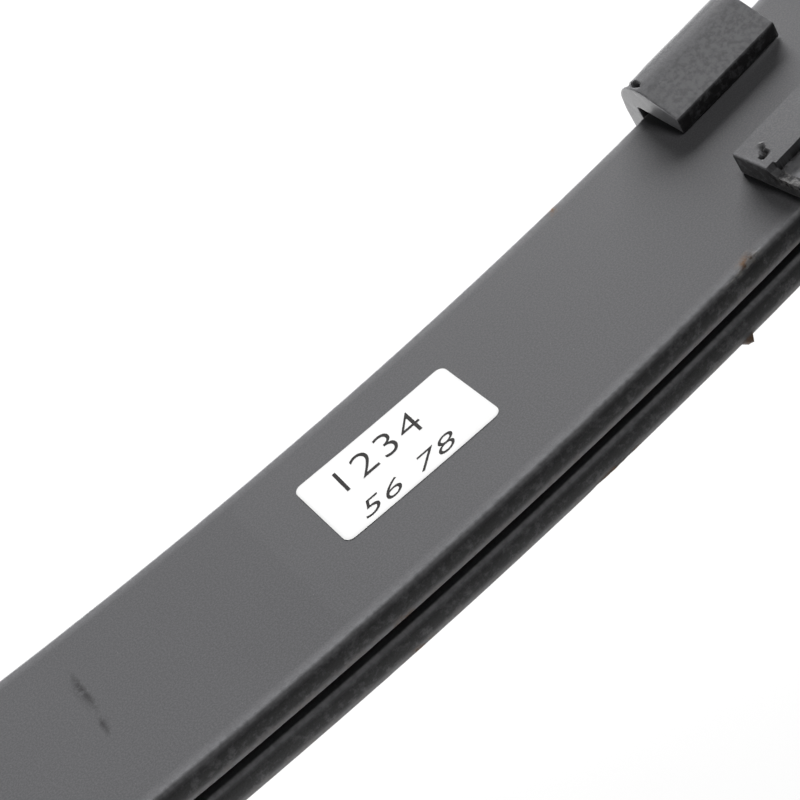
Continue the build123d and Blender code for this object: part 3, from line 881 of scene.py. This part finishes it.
def clip_piece(end, material):
    """A rebound clip: the strap's outline lofted along the spring, with its press marks."""
    outline, within, count = strap_outline()
    places, inset = strap_rings()
    around, rings = len(outline), len(places)
    skin, inside = around * rings, 2 * len(within)

    # the rings' points come first, and then the points within the strap's two ends
    along = np.concatenate([np.repeat(places, around), np.repeat([-CLIP_HALF, CLIP_HALF], len(within))])
    flat = np.concatenate([np.tile(outline, (rings, 1)), within, within])
    outward = np.concatenate([np.tile(outward_normals(outline), (rings, 1)), np.zeros((inside, 2))])
    inset = np.concatenate([np.repeat(inset, around), np.zeros(inside)])
    on_face = np.arange(len(along)) >= skin
    place = np.stack([along, flat[:, 0], flat[:, 1]], -1)
    across, rise = (flat - outward * inset[:, None]).T

    rise, in_pocket, torn, lip, rough = press_marks(place, rise, end)
    if end == "front":
        push, marks = front_clip_wear(place, rise, torn, lip, rough, on_face)
    else:
        push, marks = rear_clip_wear(place, lip)
    push = push + 0.05 * ripple(place, 9.0, 1.0) * (1 - in_pocket)
    across, rise = across + outward[:, 0] * push, rise + outward[:, 1] * push
    out_of_face = 0.07 * ripple(place, 1.8, 6.0) - 0.25 * marks[:, BARE_MARK]
    along = along + np.sign(along) * on_face * out_of_face

    # painted shade darkens the sloping tab's end face and the foot of the pocket's wall
    on_tip = np.isin(np.arange(around), np.arange(count, count + len(DEPTHS)))
    tip_shade = np.concatenate([np.tile(0.8 * on_tip, rings), np.zeros(inside)])
    pocket_foot_shade = in_pocket * (1 - smooth(-POCKET_START - flat[:, 0], 0.0, 2.5))
    marks[:, GRIME_AND_SHADE_MARK] = np.maximum.reduce([marks[:, GRIME_AND_SHADE_MARK], tip_shade, 0.95 * pocket_foot_shade])

    edge = clip_painted_light(place, across, outward[:, 1], in_pocket, on_face)
    points = stand_clip(end, along, across, rise, flat[:, 1])
    faces = tube_faces(rings, around, caps=False)
    faces += cap_faces(0, skin, count)
    faces += cap_faces(skin - around, skin + len(within), count)
    piece = add_piece(f"{end}_clip", points, faces, material, place, edge, marks, sharp=30)
    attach(piece, f"{end}_end")
    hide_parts(f"{end}_clip_strap")


clip_paint = spring_paint("clip_paint", (0.118, 0.118, 0.1225), 0.4)
for end in SIDES:
    clip_piece(end, clip_paint)


# ---------------------------------------------------------------- the label
LABEL_LENGTH, LABEL_WIDTH = 59.3, 32.7
LABEL_THICKNESS = 0.15
LABEL_GAP = 0.012            # under the paper
PRINT_LIFT = 0.035           # how far the print lies above the paper
LABEL_ARC, LABEL_ACROSS = 340.0, 4.1             # where the label's middle is on the leaf
LABEL_TURN = radians(-1.8)
LABEL_CORNER = 2.8


def on_label(along, up_label, rise):
    """Points on the label, from distances along and up it from its lower left corner."""
    dx, dy = along - LABEL_LENGTH / 2, up_label - LABEL_WIDTH / 2
    arc = LABEL_ARC + dx * cos(LABEL_TURN) - dy * sin(LABEL_TURN)
    across = LABEL_ACROSS + dx * sin(LABEL_TURN) + dy * cos(LABEL_TURN)
    return leaf_points("front", arc, across, rise)


def label_piece():
    """The paper label, lying on the curved face, with round corners and a soft cut edge."""
    columns, rows = 61, 35
    half_length, half_width = LABEL_LENGTH / 2, LABEL_WIDTH / 2
    u, v = np.meshgrid(np.linspace(-1, 1, columns), np.linspace(-1, 1, rows))
    along, upward = u * half_length, v * half_width

    # points beyond the corner circles are drawn in to them
    over_x = np.abs(along) - (half_length - LABEL_CORNER)
    over_y = np.abs(upward) - (half_width - LABEL_CORNER)
    in_corner = (over_x > 0) & (over_y > 0)
    square = np.maximum(over_x, over_y)
    shrink = np.where(in_corner, square / np.maximum(np.hypot(over_x, over_y), 1e-9), 1)
    along = np.where(in_corner, np.sign(along) * (half_length - LABEL_CORNER + over_x * shrink), along)
    upward = np.where(in_corner, np.sign(upward) * (half_width - LABEL_CORNER + over_y * shrink), upward)
    to_edge = np.minimum(half_length * (1 - np.abs(u)), half_width * (1 - np.abs(v))).ravel()
    along, upward = along.ravel() + half_length, upward.ravel() + half_width

    wave = 0.02 * ripple(np.stack([along, upward, 0 * along], -1), 9.0)
    top = LABEL_THICKNESS - 0.03 * (to_edge < 0.01) + wave * (to_edge > 1)
    count = len(along)
    upper = on_label(along, upward, top)
    lower = on_label(along, upward, np.full(count, LABEL_GAP))
    points = np.concatenate([upper, lower])
    faces = []
    for i in range(rows - 1):
        for j in range(columns - 1):
            a = i * columns + j
            quad = (a, a + 1, a + columns + 1, a + columns)
            faces.append(quad)
            faces.append(tuple(k + count for k in quad[::-1]))
    border = list(range(columns))
    border += [i * columns + columns - 1 for i in range(1, rows)]
    border += [(rows - 1) * columns + j for j in range(columns - 2, -1, -1)]
    border += [i * columns for i in range(rows - 2, 0, -1)]
    for a, b in zip(border, border[1:] + border[:1]):
        faces.append((a, b, b + count, a + count))
    place = np.tile(np.stack([along, upward, 0 * along], -1), (2, 1))
    # where painted shade greys the label's cut edge
    edge = np.tile(1 - smooth(to_edge, 0.0, 0.4), 2)
    return add_piece("paper_label", points, faces, label_paper(), place, edge, sharp=60)


def printed(name, text, left, right, base, height, weight, slant, ink):
    """One line of placeholder figures, printed on the label.

    left, right, base and height are in millimetres on the label. weight is added to the
    strokes' outline, and slant is how far the figures lean for their height.
    """
    curve = bpy.data.curves.new(name, "FONT")
    curve.body = text
    curve.offset = weight
    curve.resolution_u = 6
    curve.space_character = 1.08
    holder = bpy.data.objects.new(name, curve)
    bpy.context.scene.collection.objects.link(holder)
    bpy.context.view_layer.update()
    flat = bpy.data.meshes.new_from_object(holder)
    bpy.data.objects.remove(holder)
    shape = bmesh.new()
    shape.from_mesh(flat)
    bmesh.ops.remove_doubles(shape, verts=shape.verts, dist=1e-5)
    long_edges = [e for e in shape.edges if e.calc_length() > 0.12]
    bmesh.ops.subdivide_edges(shape, edges=long_edges, cuts=2)
    bmesh.ops.triangulate(shape, faces=shape.faces)
    points = np.array([v.co for v in shape.verts])
    faces = [tuple(v.index for v in face.verts) for face in shape.faces]
    shape.free()
    low_corner, high_corner = points.min(0), points.max(0)
    u = (points[:, 0] - low_corner[0]) / (high_corner[0] - low_corner[0])
    v = (points[:, 1] - low_corner[1]) / (high_corner[1] - low_corner[1])
    upward = base + height * v
    along = left + (right - left - height * slant) * u + height * v * slant
    placed = on_label(along, upward, np.full(len(along), LABEL_THICKNESS + PRINT_LIFT))
    place = np.stack([along, upward, 0 * along], -1)
    return add_piece(name, placed, faces, ink, place)


ink = print_ink()
label_parts = [
    label_piece(),
    printed("label_figures_large", "1234", 11.1, 42.0, 16.8, 10.4, -0.012, 0.04, ink),
    printed("label_figures_small", "56 78", 8.8, 45.9, 2.3, 6.5, -0.008, 0.466, ink),
]
for piece in label_parts:
    bend_piece(piece, "front", "outer")
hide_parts("label")


# ---------------------------------------------------------------- materials of CAD nodes
zinc = plated_steel("zinc_plate", (0.6, 0.59, 0.55), (0.4, 0.4, 0.38), 0.36)
phosphate = plated_steel("phosphated_steel", (0.33, 0.32, 0.31), (0.2, 0.195, 0.19), 0.5)
spacer_paint = scuffed_paint("spacer_paint", (0.045, 0.046, 0.048), 0.5)
bush_rubber = moulded("bush_rubber", (0.02, 0.02, 0.021), 0.62, 0.8, 0.03)
pad_rubber = moulded("pad_rubber", (0.022, 0.022, 0.023), 0.66, 1.0, 0.04)
pad_plastic = moulded("pad_plastic", (0.028, 0.028, 0.03), 0.5, 0.5, 0.02)
rivet_paint = scuffed_paint("rivet_paint", (0.05, 0.05, 0.0525), 0.42)
finishes = {
    "centre_bolt": zinc,
    "centre_nut": zinc,
    "leaf_spacer": spacer_paint,
    "helper_spacer": spacer_paint,
    "helper_leaf": spacer_paint,
}
for end in SIDES:
    finishes[f"{end}_bush_tube"] = phosphate
    finishes[f"{end}_bush_rubber"] = bush_rubber
    finishes[f"{end}_bush_sleeve"] = zinc
    finishes[f"{end}_tip_pad"] = pad_plastic
    finishes[f"{end}_helper_pad"] = pad_rubber
    finishes[f"{end}_clip_rivet"] = rivet_paint
for node, material in finishes.items():
    mesh = frame["nodes"][node].data
    mesh.materials.clear()
    mesh.materials.append(material)


# ---------------------------------------------------------------- stage, light and camera
# the floor's strength as light: before the spring, under it and behind it
FLOOR_FRONT, FLOOR_NEAR, FLOOR_BEHIND = 0.1, 1.3, 2.4
FLOOR_SEEN = 0.93            # how bright the camera sees it near the spring; far off it is white
FLOOR_HALF = 9.0             # in metres
LIT_AT = (0.35, 0.0, 0.05)   # the lights face the spring's front half
BEHIND, BEHIND_SIZE = (1.82, 2.43, 1.50), (2.1, 1.5)
ABOVE, ABOVE_SIZE = (0.42, -0.35, 2.05), (0.6, 0.6)


def plain_floor():
    """A pale floor, white where it is looked at, and brighter behind the spring as light."""
    mesh = bpy.data.meshes.new("floor")
    level = (FLOOR - 0.5) * MM
    square = ((-1, -1), (1, -1), (1, 1), (-1, 1))
    corners = [(FLOOR_HALF * x, FLOOR_HALF * y, level) for x, y in square]
    mesh.from_pydata(corners, [], [(0, 1, 2, 3)])
    floor = bpy.data.objects.new("floor", mesh)
    bpy.context.scene.collection.objects.link(floor)
    f = Finish("floor", "object", Base_Color=(0.1, 0.1, 0.1, 1), Roughness=0.9, Specular_IOR_Level=0.0)
    split = f.nodes.new("ShaderNodeSeparateXYZ")
    f.put(split.inputs[0], f.place)
    as_light = f.ease(split.outputs[1], -120.0, -75.0, FLOOR_FRONT, FLOOR_NEAR)
    more = f.ease(split.outputs[1], 20.0, 150.0, 0.0, FLOOR_BEHIND - FLOOR_NEAR)
    as_light = f.math("ADD", as_light, more)
    span = f.nodes.new("ShaderNodeVectorMath")
    span.operation = "LENGTH"
    f.put(span.inputs[0], f.place)
    as_seen = f.ease(span.outputs["Value"], 1500.0, 6000.0, FLOOR_SEEN, 1.0)
    seen = f.nodes.new("ShaderNodeLightPath").outputs["Is Camera Ray"]
    f.set(Emission_Color=(1, 1, 1, 1), Emission_Strength=f.ease(seen, 0.0, 1.0, as_light, as_seen))
    mesh.materials.append(f.material)


def soft_light(name, place, size, power, glare=True):
    """A soft light that faces the spring; without glare, satin paint doesn't mirror it."""
    data = bpy.data.lights.new(name, "AREA")
    data.shape = "RECTANGLE"
    data.size, data.size_y = size
    data.energy = power
    light = bpy.data.objects.new(name, data)
    bpy.context.scene.collection.objects.link(light)
    light.location = place
    light.rotation_euler = (Vector(LIT_AT) - Vector(place)).to_track_quat("-Z", "Y").to_euler()
    light.visible_glossy = glare


def soft_world(strength):
    """A plain world: even and dim as light, and white where the camera sees it."""
    world = bpy.data.worlds.new("studio")
    bpy.context.scene.world = world
    world.use_nodes = True
    nodes, links = world.node_tree.nodes, world.node_tree.links
    glow = nodes["Background"]
    glow.inputs["Color"].default_value = (1, 1, 1, 1)
    path = nodes.new("ShaderNodeLightPath")
    level = nodes.new("ShaderNodeMapRange")
    level.inputs[3].default_value = strength
    level.inputs[4].default_value = 1.0
    links.new(path.outputs["Is Camera Ray"], level.inputs[0])
    links.new(level.outputs[0], glow.inputs["Strength"])


def add_camera():
    """The camera stands near the spring's front half and looks down along it."""
    data = bpy.data.cameras.new("camera")
    data.lens, data.sensor_width = 81.31, 36.0
    camera = bpy.data.objects.new("camera", data)
    bpy.context.scene.collection.objects.link(camera)
    place = Vector((0.18361, -0.38369, 0.40089))
    aim = Vector((0.35273, 0.02214, 0.07043))
    roll = radians(-19.48)
    turn = (aim - place).to_track_quat("-Z", "Y").to_matrix().to_4x4()
    camera.matrix_world = Matrix.Translation(place) @ turn @ Matrix.Rotation(roll, 4, "Z")
    bpy.context.scene.camera = camera


plain_floor()
soft_light("softbox_behind", BEHIND, BEHIND_SIZE, 225.0, glare=False)
soft_light("sheen_behind", BEHIND, BEHIND_SIZE, 50.0)
soft_light("softbox_above", ABOVE, ABOVE_SIZE, 9.0)
soft_world(0.014)
add_camera()
bpy.context.scene.view_settings.view_transform = "Standard"
